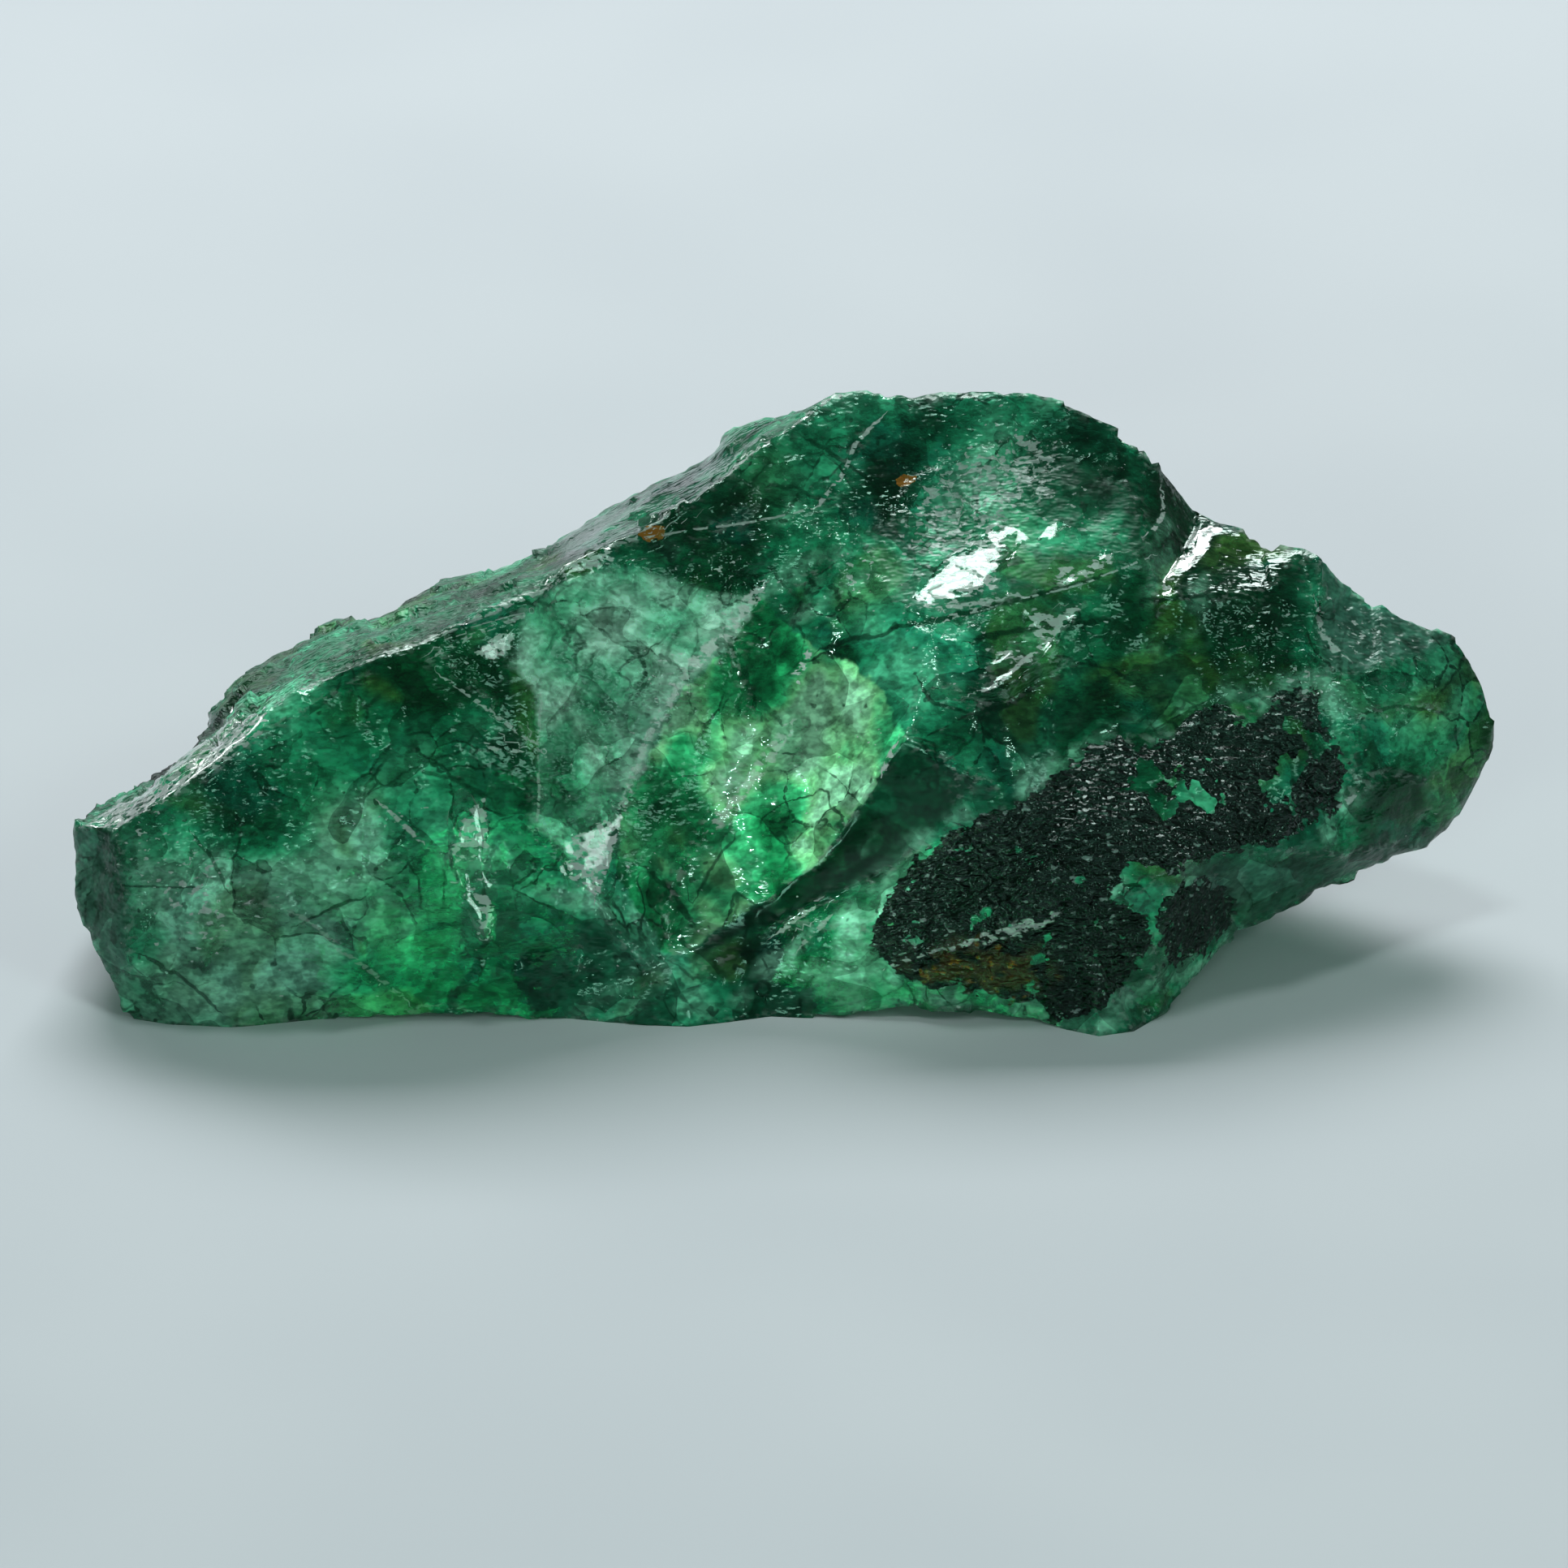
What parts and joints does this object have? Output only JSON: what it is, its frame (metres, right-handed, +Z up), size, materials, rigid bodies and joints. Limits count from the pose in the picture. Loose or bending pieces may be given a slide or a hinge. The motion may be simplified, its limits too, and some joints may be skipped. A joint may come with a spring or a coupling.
{
  "type": "raw emerald crystal",
  "caption": "Long broken lump of raw green beryl with flat faces, sharp ridges, round-bottomed chips and a black mica schist skin on one side.",
  "frame": {"origin": "middle of the bounding box, on the surface the stone rests on", "axes": "+X along the stone's length to the overhanging end with the black skin, -Y towards the side with the skin, +Z up"},
  "size_m": [0.0874, 0.0344, 0.0303],
  "materials": {
    "emerald": "cloudy deep green beryl with fine cracks, glossy broken faces and a black schist skin"
  },
  "bodies": {
    "root": {"emerald_crystal": "emerald"}
  },
  "joints": []
}
